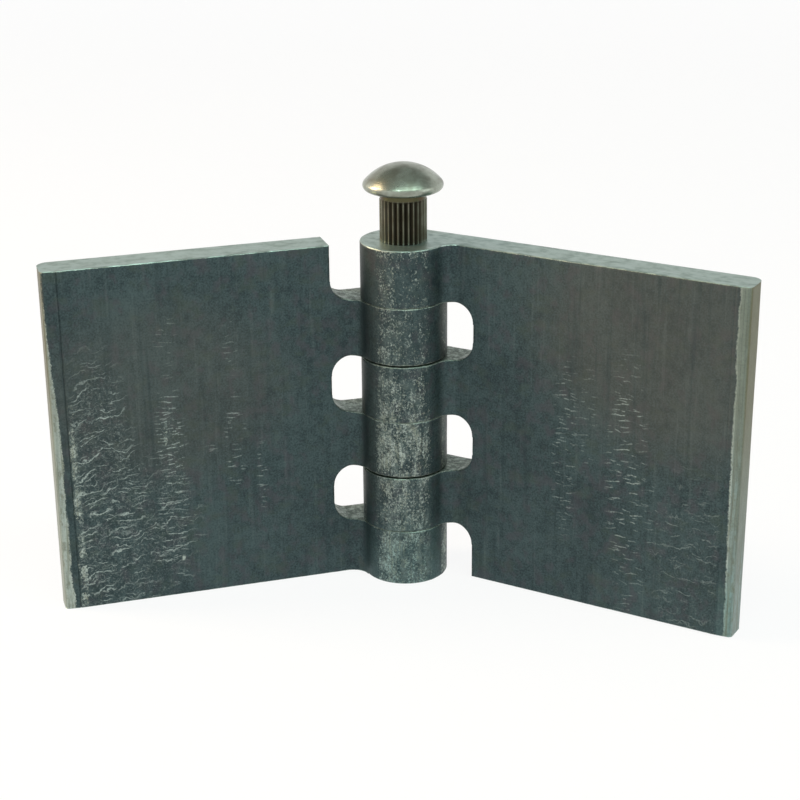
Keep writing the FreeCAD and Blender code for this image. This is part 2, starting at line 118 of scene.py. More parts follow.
class Palette:
    """A material's node tree, with the few steps that every finish here is mixed from."""

    def __init__(self, name: str) -> None:
        """Start an empty material that reads a piece's own place in millimetres."""
        self.material = bpy.data.materials.new(name)
        self.material.use_nodes = True
        self.tree = self.material.node_tree
        self.tree.nodes.clear()
        self.place = add(self.tree, "ShaderNodeAttribute", attribute_name=PLACE).outputs["Vector"]

    def attribute(self, name: str) -> bpy.types.NodeSocket:
        """A number that the mesh carries at each vertex."""
        return add(self.tree, "ShaderNodeAttribute", attribute_name=name).outputs["Fac"]

    def cloud(self, sizes: tuple[float, float, float], detail: float = 3.0, rough: float = 0.55,
              bend: bpy.types.NodeSocket | None = None) -> bpy.types.NodeSocket:
        """Fractal noise whose features are about as long as sizes, in mm, along X, Y and Z.

        Args:
            sizes: feature lengths in mm.
            detail: octaves.
            rough: how strong the finer octaves are.
            bend: a vector in mm that is added to the place first.

        Returns:
            Noise about 0.5.
        """
        source = self.place if bend is None else self.sum_vectors(self.place, bend)
        scaled = add(self.tree, "ShaderNodeVectorMath",
                     {0: source, 1: tuple(1 / size for size in sizes)}, operation="MULTIPLY")
        noise = add(self.tree, "ShaderNodeTexNoise", {"Vector": scaled.outputs[0], "Scale": 1.0,
                                                      "Detail": detail, "Roughness": rough})
        return noise.outputs["Fac"]

    def sum_vectors(self, first: bpy.types.NodeSocket, second: bpy.types.NodeSocket) -> bpy.types.NodeSocket:
        """The sum of two vectors."""
        return add(self.tree, "ShaderNodeVectorMath", {0: first, 1: second}, operation="ADD").outputs[0]

    def math(self, operation: str, first: Any, second: Any = 0.0) -> bpy.types.NodeSocket:
        """One step of arithmetic on one or two numbers."""
        return add(self.tree, "ShaderNodeMath", {0: first, 1: second}, operation=operation).outputs[0]

    def step(self, value: Any, start: Any, end: Any, low: Any = 0.0, high: Any = 1.0) -> bpy.types.NodeSocket:
        """Ease from low to high while value goes from start to end."""
        return add(self.tree, "ShaderNodeMapRange",
                   {"Value": value, "From Min": start, "From Max": end, "To Min": low, "To Max": high},
                   interpolation_type="SMOOTHSTEP").outputs["Result"]

    def product(self, *values: Any) -> bpy.types.NodeSocket:
        """All these numbers multiplied together."""
        total = values[0]
        for value in values[1:]:
            total = self.math("MULTIPLY", total, value)
        return total

    def chance(self, row: bpy.types.NodeSocket, column: Any) -> list[bpy.types.NodeSocket]:
        """Three random numbers from 0 to 1 for the cell in this row and column."""
        cell = add(self.tree, "ShaderNodeCombineXYZ", {"X": row, "Y": column}).outputs[0]
        noise = add(self.tree, "ShaderNodeTexWhiteNoise", {"Vector": cell}, noise_dimensions="2D")
        parts = add(self.tree, "ShaderNodeSeparateColor", {"Color": noise.outputs["Color"]})
        return list(parts.outputs)[:3]

    def strokes(self, length: float, pitch: float, width: float, slope: float, amount: float,
                sway: bpy.types.NodeSocket) -> bpy.types.NodeSocket:
        """Fine separate lines across the face, for creases and ticks in the scale.

        The face is ruled into cells, each row shifted by a random amount. A cell holds one line or
        none, and the line's height in its cell, its reach and its strength are random.

        Args:
            length: length of a cell, in mm.
            pitch: height of a cell, in mm.
            width: width of a line, in mm.
            slope: how steeply the rows rise towards the eye, in degrees.
            amount: share of the cells that hold a line.
            sway: a vector in mm that bends the rows.

        Returns:
            Strength from 0 to 1.
        """
        rise = math.radians(slope)
        bent = self.sum_vectors(self.place, sway)
        along = add(self.tree, "ShaderNodeVectorMath", {0: bent, 1: (
            math.cos(rise) / length, 0, math.sin(rise) / length)}, operation="DOT_PRODUCT").outputs["Value"]
        across = add(self.tree, "ShaderNodeVectorMath", {0: bent, 1: (
            -math.sin(rise) / pitch, 0, math.cos(rise) / pitch)}, operation="DOT_PRODUCT").outputs["Value"]
        row = self.math("FLOOR", across)
        along = self.math("ADD", along, self.product(self.chance(row, 3.0)[0], 7.3))
        height, reach, luck = self.chance(row, self.math("FLOOR", along))
        middle = self.math("ADD", 0.25, self.product(height, 0.5))
        off = self.math("ABSOLUTE", self.math("SUBTRACT", self.math("FRACT", across), middle))
        past = self.math("ABSOLUTE", self.math("SUBTRACT", self.math("FRACT", along), 0.5))
        past = self.math("SUBTRACT", past, self.product(reach, 0.3))
        line = self.step(off, 0.35 * width / pitch, width / pitch, 1.0, 0.0)
        there = self.step(luck, amount * 0.4, amount, 1.0, 0.0)
        return self.product(line, self.step(past, 0.02, 0.15, 1.0, 0.0), there)

    def mix(self, factor: Any, start: Any, end: Any) -> bpy.types.NodeSocket:
        """Blend two colours; a colour is a socket or a hex string."""
        ends = [linear(c) if isinstance(c, str) else c for c in (start, end)]
        return add(self.tree, "ShaderNodeMix", {MIX_FACTOR: factor, MIX_FROM: ends[0], MIX_TO: ends[1]},
                   data_type="RGBA").outputs[MIX_RESULT]

    def steel(self, colour: Any, roughness: Any, metallic: float, height: Any, relief_mm: float) -> None:
        """Finish the material as steel.

        Args:
            colour: base colour.
            roughness: roughness.
            metallic: share of bare metal, the same all over.
            height: the bump's height, 0 to 1.
            relief_mm: what a height of 1 stands for.
        """
        bump = add(self.tree, "ShaderNodeBump",
                   {"Strength": 1.0, "Distance": relief_mm * METRES, "Height": height})
        shader = add(self.tree, "ShaderNodeBsdfPrincipled",
                     {"Base Color": colour, "Roughness": roughness, "Metallic": metallic,
                      "Normal": bump.outputs["Normal"]})
        add(self.tree, "ShaderNodeOutputMaterial", {"Surface": shader.outputs["BSDF"]})


@dataclass(frozen=True)
class MillScale:
    """Hot-rolled steel with its mill scale on.

    Blue-grey iron oxide, half metallic and never even: it lies in clouds of slate, brown and violet
    and in streaks along the bar. Where the bar bent it has creased, with painted glints as fine pale
    lines; where it has flaked off, brighter steel shows in specks that join into bare patches at the corners.
    A wear below zero darkens it as painted shade, and a warmth below zero turns it faintly green.
    """

    slate: str = "#475859"
    deep: str = "#2d3b3e"
    violet: str = "#4b4a50"
    olive: str = "#435047"
    # Brown is the tone of rust and film, and also of painted warm light and reflections.
    brown: str = "#585750"
    bare: str = "#c0ccc4"
    dulled: str = "#97a8a2"
    rust: str = "#706f52"
    mint: str = "#86b0ad"
    # The pale crease colour paints the glints along the creases, and the ticks and grit.
    crease: str = "#aebbb6"
    metallic: float = 0.75
    relief_mm: float = 0.10

    def build(self) -> bpy.types.Material:
        """Mix the scale's material."""
        p = Palette("mill_scale_on_hot_rolled_steel")
        wear = p.attribute(WEAR)
        creased = p.attribute(CREASED)
        ticked = p.attribute(TICKED)
        warmth = p.attribute(WARMTH)

        drift = p.cloud((22.0, 22.0, 28.0), 3.0)
        mottle = p.cloud((2.6, 2.6, 2.9), 4.0, 0.62)
        grain = p.cloud((0.55, 0.55, 0.55), 3.0, 0.7)
        streak = p.cloud((1.6, 1.6, 45.0), 3.0, 0.6)
        tone = p.math("ADD", p.product(drift, 0.22), p.math("ADD", p.product(mottle, 0.26), p.product(grain, 0.52)))
        colour = p.mix(p.step(tone, 0.39, 0.605), self.deep, self.slate)
        colour = p.mix(p.step(p.cloud((3.4, 3.4, 4.2), 3.0), 0.50, 0.68, 0.0, 0.5), colour, self.violet)
        colour = p.mix(p.step(p.cloud((5.0, 5.0, 3.8), 3.0), 0.52, 0.70, 0.0, 0.4), colour, self.olive)
        # Warmth browns the scale: rust and brown film, and also painted warm light and painted warm reflections where
        # the leaves mark them.
        colour = p.mix(p.product(warmth, p.step(mottle, 0.2, 0.62, 0.7, 1.0)), colour, self.brown)
        colour = p.mix(p.step(streak, 0.52, 0.74, 0.0, 0.4), colour, self.deep)
        colour = p.mix(p.step(p.cloud((1.3, 1.3, 30.0), 3.0, 0.6), 0.54, 0.74, 0.0, 0.04), colour, self.crease)
        # Wear below zero darkens towards the deep tone: painted shade on the eye's left side.
        colour = p.mix(p.step(wear, -1.0, 0.0, 0.9, 0.0), colour, self.deep)
        green = p.step(warmth, -1.0, 0.0, 1.0, 0.0)
        colour = p.mix(p.product(green, 0.1), colour, self.mint)

        sway = self.sway(p)
        fold = p.cloud((1.9, 1.9, 1.15), 3.0, 0.5, sway)
        net = p.step(p.math("ABSOLUTE", p.math("SUBTRACT", fold, 0.5)), 0.0, 0.045, 1.0, 0.0)
        net = p.product(net, p.step(p.cloud((2.6, 2.6, 1.8), 2.0), 0.42, 0.60, 0.0, 0.42))
        long_lines = p.strokes(12.0, 2.2, 0.30, 3.0, 0.85, sway)
        short_lines = p.strokes(6.5, 1.5, 0.22, -4.0, 0.55, sway)
        beads = p.step(grain, 0.36, 0.56, 0.35, 1.0)
        grit = p.step(p.cloud((0.75, 0.75, 0.55), 2.0, 0.7), 0.54, 0.70, 0.0, 0.55)
        grit = p.product(grit, p.step(p.math("MAXIMUM", creased, p.product(ticked, 0.8)), 0.45, 0.85, 0.0, 0.6))
        pits = p.product(p.step(p.cloud((0.9, 0.9, 0.8), 3.0, 0.7), 0.56, 0.42, 0.0, 0.8), p.math(
            "MAXIMUM", creased, p.step(wear, 0.3, 0.55, 0.0, 0.8)))
        colour = p.mix(pits, colour, self.deep)
        lines = p.math("MAXIMUM", p.math("MAXIMUM", long_lines, p.product(short_lines, 0.8)), net)
        wrinkle_glint = p.product(lines, beads, creased)
        rungs = p.math("MAXIMUM", p.strokes(6.4, 1.6, 0.23, -6.0, 0.8, self.tremble(p)),
                       p.product(p.strokes(3.8, 1.2, 0.2, 8.0, 0.55, self.tremble(p)), 0.85))
        line = p.math("MAXIMUM", wrinkle_glint, p.product(rungs, p.step(mottle, 0.36, 0.52, 0.15, 1.0), beads, ticked))
        line = p.math("MAXIMUM", line, grit)
        # Pale lines: along the creases they are painted glints on the ridges, which also stand in the relief; the ticks
        # and grit take the same pale colour.
        colour = p.mix(p.product(line, 0.8), colour, self.crease)

        # Haze lightens the worn scale towards the dulled tone: partly rubbed scale, partly a painted sheen.
        haze_and_sheen = p.product(p.step(wear, 0.3, 0.62), p.step(p.cloud((2.0, 2.0, 5.0), 3.0, 0.6), 0.42, 0.66, 0.0, 0.24))
        colour = p.mix(haze_and_sheen, colour, self.dulled)
        flake = p.cloud((0.58, 0.58, 0.66), 4.0, 0.75)
        patchy = p.step(p.cloud((3.0, 3.0, 4.0), 3.0), 0.36, 0.62, 0.70, 1.02)
        patchy = p.product(patchy, p.step(p.cloud((1.9, 1.9, 26.0), 2.0), 0.36, 0.60, 0.88, 1.03))
        edge = p.math("SUBTRACT", 0.80, p.product(wear, patchy, 0.62))
        speck = p.step(flake, p.math("SUBTRACT", edge, 0.04), p.math("ADD", edge, 0.13))
        streaky = p.step(p.cloud((0.8, 0.8, 16.0), 3.0), 0.44, 0.66, 0.0, 0.6)
        streaky = p.math("MAXIMUM", streaky, p.step(p.cloud((1.3, 1.3, 2.4), 4.0, 0.65), 0.42, 0.72, 0.0, 0.7))
        steel = p.mix(p.math("MAXIMUM", p.step(wear, 1.12, 1.3), p.product(green, 0.5)), self.bare, self.dulled)
        steel = p.mix(p.product(green, 0.6), steel, self.mint)
        drawn = p.step(p.cloud((0.5, 0.5, 22.0), 2.0, 0.6), 0.46, 0.60, 0.0, 0.3)
        steel = p.mix(p.product(drawn, p.step(wear, 1.05, 1.3, 0.3, 1.0)), steel, self.deep)
        steel = p.mix(p.math("MAXIMUM", streaky, warmth), steel, self.rust)
        pitted = p.product(p.step(p.cloud((0.5, 0.5, 0.55), 2.0, 0.7), 0.48, 0.62), p.step(wear, 0.8, 1.05, 0.65, 0.15))
        steel = p.mix(pitted, steel, self.deep)
        colour = p.mix(p.product(speck, p.step(wear, 0.5, 1.1, 0.78, 0.72)), colour, steel)

        roughness = p.step(p.math("ADD", tone, p.product(speck, 0.3)), 0.3, 0.9, 0.56, 0.42)
        height = p.math("ADD", p.product(grain, 0.35), p.product(line, 0.55))
        height = p.math("ADD", height, p.product(fold, creased, 0.5))
        height = p.math("SUBTRACT", height, p.product(speck, 0.35))
        p.steel(colour, roughness, self.metallic, height, self.relief_mm)
        return p.material

    def sway(self, p: Palette) -> bpy.types.NodeSocket:
        """Bend for the creases, in mm: they climb towards the eye, steepest at the outer edge.

        The lift is 0.0042 times the square of the distance outwards from 60 mm, plus a slow wave
        and a fine tremble.
        """
        parts = add(p.tree, "ShaderNodeSeparateXYZ", {0: p.place})
        outward = p.math("MINIMUM", p.math("ADD", parts.outputs["X"], 60.0), 0.0)
        lift = p.product(outward, outward, 0.0042)
        wave = p.product(p.math("SUBTRACT", p.cloud((8.0, 8.0, 6.0), 2.0), 0.5), 6.5)
        fine = p.product(p.math("SUBTRACT", p.cloud((1.9, 1.9, 1.9), 2.0), 0.5), 2.4)
        total = p.math("ADD", lift, p.math("ADD", wave, fine))
        return add(p.tree, "ShaderNodeCombineXYZ", {"Z": total}).outputs[0]

    def tremble(self, p: Palette) -> bpy.types.NodeSocket:
        """A slight bend for the ticks, in mm."""
        wave = p.product(p.math("SUBTRACT", p.cloud((4.0, 4.0, 3.0), 2.0), 0.5), 1.6)
        return add(p.tree, "ShaderNodeCombineXYZ", {"Z": wave}).outputs[0]


@dataclass(frozen=True)
class SawnSteel:
    """Steel where the bar was sawn and milled: pale grey-green satin.

    Fine tool lines run along the bar's width, with darker blotches where it has been handled.
    """

    satin: str = "#99aba4"
    stain: str = "#74827d"
    metallic: float = 0.9
    relief_mm: float = 0.03

    def build(self) -> bpy.types.Material:
        """Mix the sawn steel's material."""
        p = Palette("sawn_steel")
        lines = p.cloud((26.0, 0.55, 0.55), 3.0, 0.7)
        blotch = p.cloud((3.0, 2.2, 3.0), 4.0, 0.6)
        colour = p.mix(p.step(blotch, 0.44, 0.76, 0.0, 0.6), self.satin, self.stain)
        colour = p.mix(p.step(lines, 0.5, 0.72, 0.0, 0.7), colour, self.stain)
        roughness = p.step(blotch, 0.3, 0.7, 0.34, 0.5)
        p.steel(colour, roughness, self.metallic, lines, self.relief_mm)
        return p.material


@dataclass(frozen=True)
class CutSteel:
    """The floors and walls of the notches: cut, then left to tarnish.

    Grey-green and blotched, dark where dirt has stayed and bright where the cut still shows.
    """

    bright: str = "#8d9990"
    moss: str = "#56635a"
    dirt: str = "#2b332e"
    metallic: float = 0.8
    relief_mm: float = 0.06

    def build(self) -> bpy.types.Material:
        """Mix the notches' material."""
        p = Palette("tarnished_cut_steel")
        blotch = p.cloud((1.6, 1.6, 1.6), 4.0, 0.68)
        dirt = p.cloud((0.9, 0.9, 0.9), 3.0, 0.7)
        colour = p.mix(p.step(blotch, 0.40, 0.64), self.moss, self.bright)
        colour = p.mix(p.step(dirt, 0.52, 0.68, 0.0, 0.8), colour, self.dirt)
        p.steel(colour, p.step(blotch, 0.3, 0.7, 0.55, 0.42), self.metallic, dirt, self.relief_mm)
        return p.material


@dataclass(frozen=True)
class ReamedSteel:
    """The bore: turned steel with fine rings, dulled by oil."""

    clean: str = "#6d716c"
    oily: str = "#3b3a33"
    metallic: float = 0.9
    relief_mm: float = 0.02

    def build(self) -> bpy.types.Material:
        """Mix the bore's material."""
        p = Palette("reamed_oily_steel")
        rings = p.cloud((9.0, 9.0, 0.25), 2.0)
        film = p.cloud((4.0, 4.0, 6.0), 3.0)
        colour = p.mix(p.step(film, 0.35, 0.65), self.clean, self.oily)
        p.steel(colour, p.step(film, 0.3, 0.7, 0.3, 0.5), self.metallic, rings, self.relief_mm)
        return p.material


@dataclass(frozen=True)
class TurnedSteel:
    """The pin: bright turned steel gone satin, warm with thin oil, dark in the knurl's grooves with oil and painted
    shade.
    """

    bright: str = "#9fa69a"
    film: str = "#7b7d72"
    # The groove colour is oil in the knurl's grooves and painted shade there.
    groove: str = "#28241a"
    neck: str = "#53513b"
    tan: str = "#5a473a"
    metallic: float = 0.95
    relief_mm: float = 0.02

    def build(self) -> bpy.types.Material:
        """Mix the pin's material."""
        p = Palette("turned_pin_steel")
        dirt = p.attribute(WEAR)
        warmth = p.attribute(WARMTH)
        film = p.cloud((5.0, 5.0, 4.0), 4.0, 0.6)
        rings = p.cloud((6.0, 6.0, 0.22), 2.0)
        fleck = p.cloud((0.5, 0.5, 0.5), 3.0)
        colour = p.mix(p.step(film, 0.35, 0.7), self.bright, self.film)
        colour = p.mix(p.step(fleck, 0.62, 0.75, 0.0, 0.4), colour, self.film)
        # The oil tint also paints a warm reflection on the head's left, where the warmth marks it.
        oil = p.mix(p.step(p.cloud((3.5, 3.5, 2.5), 3.0), 0.5, 0.66, 0.0, 0.6), self.neck, self.tan)
        colour = p.mix(warmth, colour, oil)
        # The knurl's grooves darken: oil, and painted shade in them.
        colour = p.mix(dirt, colour, self.groove)
        roughness = p.step(p.math("ADD", film, dirt), 0.3, 1.2, 0.26, 0.6)
        p.steel(colour, roughness, self.metallic, p.math("ADD", rings, p.math("MULTIPLY", film, 2.0)),
                self.relief_mm)
        return p.material


def ripple(along: np.ndarray, up: np.ndarray, pitch: tuple[float, float], seed: int,
           around: float) -> np.ndarray:
    """Smooth random heights from -1 to 1.

    A random value stands at each knot of a grid of this pitch. Between knots the four nearest are
    blended with the ease 6t^5 - 15t^4 + 10t^3, and the grid closes on itself after the length around.

    Args:
        along: distance round the section, in mm.
        up: height, in mm, not negative.
        pitch: knot spacing along and up, in mm.
        seed: seed of the random values.
        around: whole length round the section, in mm.

    Returns:
        A height for each place.
    """
    columns = max(3, round(around / pitch[0]))
    u = along / around * columns
    v = up / pitch[1]
    rows = int(v.max()) + 3
    knots = np.random.default_rng(seed).uniform(-1, 1, (columns, rows))
    i, j = np.floor(u).astype(int), np.floor(v).astype(int)
    a, b = u - i, v - j
    a = a * a * a * (a * (a * 6 - 15) + 10)
    b = b * b * b * (b * (b * 6 - 15) + 10)
    left, right = i % columns, (i + 1) % columns
    low = knots[left, j] * (1 - a) + knots[right, j] * a
    high = knots[left, j + 1] * (1 - a) + knots[right, j + 1] * a
    return low * (1 - b) + high * b


def ease(value: np.ndarray, start: float, end: float) -> np.ndarray:
    """Zero before start, one after end and 3t^2 - 2t^3 between."""
    t = np.clip((value - start) / (end - start), 0, 1)
    return t * t * (3 - 2 * t)


@dataclass(frozen=True)
class Patch:
    """A soft-edged oval on a leaf's front face, placed as the hinge stands.

    Args:
        out: distance of its middle from the pin axis, in mm.
        up: height of its middle, in mm.
        half_width: half its width, in mm.
        half_height: half its height, in mm.
        strength: how strong it is in the middle.
    """

    out: float
    up: float
    half_width: float
    half_height: float
    strength: float = 1.0

    def weight(self, out: np.ndarray, up: np.ndarray) -> np.ndarray:
        """Strength at each place: full inside half the radius, none past it."""
        reach = np.hypot((out - self.out) / self.half_width, (up - self.up) / self.half_height)
        return self.strength * ease(-reach, -1.15, -0.55)


@dataclass(frozen=True)
class Section:
    """The bar's cross-section as a net of four-sided cells, in mm.

    Args:
        points: places of the net's points.
        cells: corners of each cell, anticlockwise.
        eye_cells: how many of the cells, first in the list, belong to the eye.
        outward: outward direction on the outline, zero inside.
        along: distance round the outline.
        around: whole length of the outline.
        bore: True for points on the bore.
    """

    points: np.ndarray
    cells: np.ndarray
    eye_cells: int
    outward: np.ndarray
    along: np.ndarray
    around: float
    bore: np.ndarray


@dataclass
class Leaf:
    """One leaf: rolled bar with an eye, a hollow root and a flat, notched into knuckles."""

    name: str
    node: str
    height: float
    reach: float
    barrel: float
    thick: float = 10.2
    bore: float = 6.35
    root: float = 5.0
    strip: float = 4.3
    strip_fall: float = 0.4
    front_corner: float = 1.4
    back_corner: float = 3.5
    seam_half: float = 0.25
    seam_depth: float = 0.2
    edge_break: float = 0.35
    knuckles: int = 3
    play: float = 0.5
    rise: float = 0.5
    notch_gap: float = 8.5
    notch_corner: float = 6.0
    open_angle: float = 133.0
    turned: bool = False
    bare_from: tuple[float, ...] = (97.7, 98.3, 99.9, 100.2)
    bare_up: tuple[float, ...] = (0.0, 58.0, 82.0, 100.0)
    bare_soft: float = 0.7
    bare_wear: float = 1.15
    end_rust: float = 1.0
    beside_seam: float = 0.68
    # The side band on the eye is a painted reflection, fading with height.
    reflection_flank: float = -37.0
    reflection_flank_fade: float = 240.0
    # The front band on the eye is partly worn scale and partly a painted sheen.
    rub_and_sheen_middle: float = -110.0
    rub_and_sheen_half: float = 42.0
    rub_and_sheen_levels: tuple[float, ...] = (0.60, 0.54, 0.65, 0.51, 0.46, 0.42)
    seed: int = 1
    mesh_step: float = 0.54
    creased: tuple[Patch, ...] = ()
    ticked: tuple[Patch, ...] = ()
    warm: tuple[Patch, ...] = ()
    worn: tuple[Patch, ...] = ()

    @property
    def knuckle(self) -> float:
        """Height of a knuckle: those of both leaves and the play fill the hinge."""
        return (self.height + self.rise - (self.knuckles - 1) * self.play) / (2 * self.knuckles)

    @property
    def front(self) -> float:
        """Place of the flat's front face, on the section's Y."""
        return self.barrel - self.thick

    @property
    def notch_wall(self) -> float:
        """Distance from the pin axis to a notch's wall."""
        return self.barrel + self.notch_gap

    def front_line(self, out: np.ndarray) -> np.ndarray:
        """Y of the front outline at a distance from the axis: hollow, flat, seam, strip, corner."""
        root_y = self.front - self.root
        root_out = math.sqrt((self.barrel + self.root) ** 2 - root_y ** 2)
        hollow = root_y + np.sqrt(np.clip(self.root ** 2 - (out - root_out) ** 2, 0, None))
        seam = self.reach - self.strip
        corner_out = self.reach - self.front_corner
        y = np.where(out < root_out, hollow, self.front)
        y = y + self.strip_fall * np.clip((out - seam) / (corner_out - seam), 0, 1)
        y = y + self.seam_depth * np.clip(1 - np.abs(out - seam) / self.seam_half, 0, 1)
        low = self.front + self.strip_fall + self.front_corner
        past = np.clip(out - corner_out, 0, self.front_corner)
        return np.where(out > corner_out, low - np.sqrt(self.front_corner ** 2 - past ** 2), y)

    def back_line(self, out: np.ndarray) -> np.ndarray:
        """Y of the back outline at a distance from the axis: flat, then the large corner."""
        past = np.clip(out - (self.reach - self.back_corner), 0, self.back_corner)
        return self.barrel - self.back_corner + np.sqrt(self.back_corner ** 2 - past ** 2)

    def out_lines(self) -> np.ndarray:
        """Distances from the axis at which the flat's net has its lines, close at each curve."""
        root_y = self.front - self.root
        root_out = math.sqrt((self.barrel + self.root) ** 2 - root_y ** 2)
        first = math.atan2(-root_y, root_out)
        turn = np.linspace(first, math.pi / 2, 14)
        hollow = root_out - self.root * np.cos(turn)
        centre = self.notch_wall - self.notch_corner
        swing = np.linspace(math.asin((root_out - centre) / self.notch_corner), math.pi / 2, 11)
        corner = centre + self.notch_corner * np.sin(swing[1:])
        seam = self.reach - self.strip
        flat_start, flat_end = self.notch_wall + self.edge_break, seam - self.seam_half
        flat = np.linspace(flat_start, flat_end, round((flat_end - flat_start) / self.mesh_step))
        corner_out = self.reach - self.front_corner
        strip = np.linspace(seam + self.seam_half, corner_out, 7)
        end = corner_out + self.front_corner * np.sin(np.linspace(0, math.pi / 2, 9)[1:])
        return np.concatenate([hollow, corner, flat, [seam], strip, end])

    def section(self) -> Section:
        """The net over the bar's section.

        The eye is a ring of cells between the outline and the bore; the ring's left side is the
        straight line where the flat begins. The flat is a grid between its front and back lines.
        """
        out = self.out_lines()
        join = -out[0]
        join_low = float(self.front_line(out[:1])[0])
        layer = self.edge_break / self.thick
        across = np.concatenate([[0, layer], np.linspace(0.12, 0.88, 9), [1 - layer, 1]])
        wall = self.edge_break / (self.barrel - self.bore)
        inward = np.concatenate([[0, wall], np.linspace(0.22, 1, 6)])

        arc = np.linspace(math.atan2(join_low, join), math.pi / 2, 104)
        eye = self.barrel * np.c_[np.cos(arc), np.sin(arc)]
        over = np.linspace(0, join, 23)[1:]
        back = np.c_[over, np.full(len(over), self.barrel)]
        side = np.c_[np.full(len(across), join), join_low + (self.barrel - join_low) * across]
        outer = np.concatenate([eye, back, side[-2:0:-1]])
        last = math.atan2(self.barrel, join)
        first = math.atan2(join_low, join) + 2 * math.pi
        turn = np.concatenate([arc, np.arctan2(back[:, 1], back[:, 0]),
                               last + (first - last) * (1 - across[-2:0:-1])])
        inner = self.bore * np.c_[np.cos(turn), np.sin(turn)]
        ring = outer[None] + (inner - outer)[None] * inward[:, None, None]
        count = len(outer)
        layers = len(inward)
        ring_ids = np.arange(count * layers).reshape(layers, count)
        after = np.roll(ring_ids, -1, axis=1)
        eye_cells = np.stack([ring_ids[:-1], after[:-1], after[1:], ring_ids[1:]], -1).reshape(-1, 4)

        low, high = self.front_line(out), self.back_line(out)
        flat = np.stack([np.broadcast_to(-out[:, None], (len(out), len(across))),
                         low[:, None] + (high - low)[:, None] * across[None]], -1)
        flat_ids = np.empty((len(out), len(across)), int)
        flat_ids[0] = np.concatenate([[0], np.arange(count - 1, len(arc) + len(over) - 1, -1),
                                      [len(arc) + len(over) - 1]])
        fresh = (len(out) - 1) * len(across)
        flat_ids[1:] = count * layers + np.arange(fresh).reshape(len(out) - 1, len(across))
        a, b = flat_ids[:-1, :-1], flat_ids[1:, :-1]
        c, d = flat_ids[1:, 1:], flat_ids[:-1, 1:]
        flat_cells = np.stack([a, d, c, b], -1).reshape(-1, 4)

        points = np.concatenate([ring.reshape(-1, 2), flat[1:].reshape(-1, 2)])
        loop = np.concatenate([ring_ids[0, :len(arc) + len(over) - 1], flat_ids[:, -1],
                               flat_ids[-1, -2:0:-1], flat_ids[::-1, 0][:-1]])
        ahead, behind = points[np.roll(loop, -1)], points[np.roll(loop, 1)]
        course = ahead - behind
        normal = np.c_[course[:, 1], -course[:, 0]]
        normal /= np.linalg.norm(normal, axis=1)[:, None]
        steps = np.linalg.norm(ahead - points[loop], axis=1)
        outward = np.zeros_like(points)
        outward[loop] = normal
        along = np.zeros(len(points))
        along[loop] = np.concatenate([[0], np.cumsum(steps)[:-1]])
        on_bore = np.zeros(len(points), bool)
        on_bore[ring_ids[-1]] = True
        return Section(points, np.concatenate([eye_cells, flat_cells]), len(eye_cells), outward,
                       along, float(steps.sum()), on_bore)

    def levels(self) -> tuple[np.ndarray, np.ndarray]:
        """Heights of the net's lines up the bar, and for each gap whether a knuckle fills it."""
        notch = self.knuckle + self.play
        marks, filled = [0.0], []
        while marks[-1] < self.height - 1e-6:
            tall = self.knuckle if len(filled) % 2 == 0 else notch
            marks.append(min(marks[-1] + tall, self.height))
            filled.append(len(filled) % 2 == 0)
        heights, solid = [0.0], []
        for low, high, is_knuckle in zip(marks, marks[1:], filled):
            edge = self.edge_break
            count = round((high - low - 2 * edge) / self.mesh_step)
            lines = np.concatenate([np.linspace(low + edge, high - edge, count), [high]])
            heights.extend(lines)
            solid.extend([is_knuckle] * len(lines))
        return np.array(heights), np.array(solid)

    def shift(self, out: np.ndarray, up: np.ndarray) -> np.ndarray:
        """How far a notch's round corner lifts or drops the net, in mm.

        The knuckle's face follows a quarter circle from the notch's floor to its wall. Beyond the
        wall the lines ease back, and halfway up each knuckle and notch they stay level.
        """
        corner, wall = self.notch_corner, self.notch_wall
        past = np.clip(out - (wall - corner), 0, corner)
        rise = corner - np.sqrt(corner ** 2 - past ** 2)
        rise = np.where(out > wall, corner * (1 - ease(out, wall, wall + 16)), rise)
        hold, notch = 0.6, self.knuckle + self.play
        knots, values = [0.0], [0.0]
        low = 0.0
        for index in range(self.knuckles):
            top = low + self.knuckle
            middle = (low + top) / 2
            if index:
                knots += [low - notch / 2, low - hold, low + hold]
                values += [0.0, -1.0, -1.0]
            knots += [middle, top - hold, top + hold]
            values += [0.0, 1.0, 1.0]
            low = top + notch
        knots.append(self.height)
        values.append(0.0)
        return rise * np.interp(up, knots, values)

    def standing(self, points: np.ndarray) -> np.ndarray:
        """Points of the bar as the leaf stands: the turned leaf is swung half a turn, end for end."""
        if not self.turned:
            return points
        half = math.radians(self.open_angle / 2)
        axis = np.array([math.cos(half), math.sin(half), 0])
        turn = 2 * np.outer(axis, axis) - np.eye(3)
        return points @ turn.T + np.array([0, 0, self.height + self.rise])

    def weight(self, patches: tuple[Patch, ...], points: np.ndarray) -> np.ndarray:
        """The strongest of these patches at each point of the front face."""
        out, up = -points[:, 0], self.standing(points)[:, 2]
        face = ease(-points[:, 1], -self.front - 2.2, -self.front - 0.6)
        total = np.zeros(len(points))
        for patch in patches:
            total = np.maximum(total, patch.weight(out, up))
        return total * face

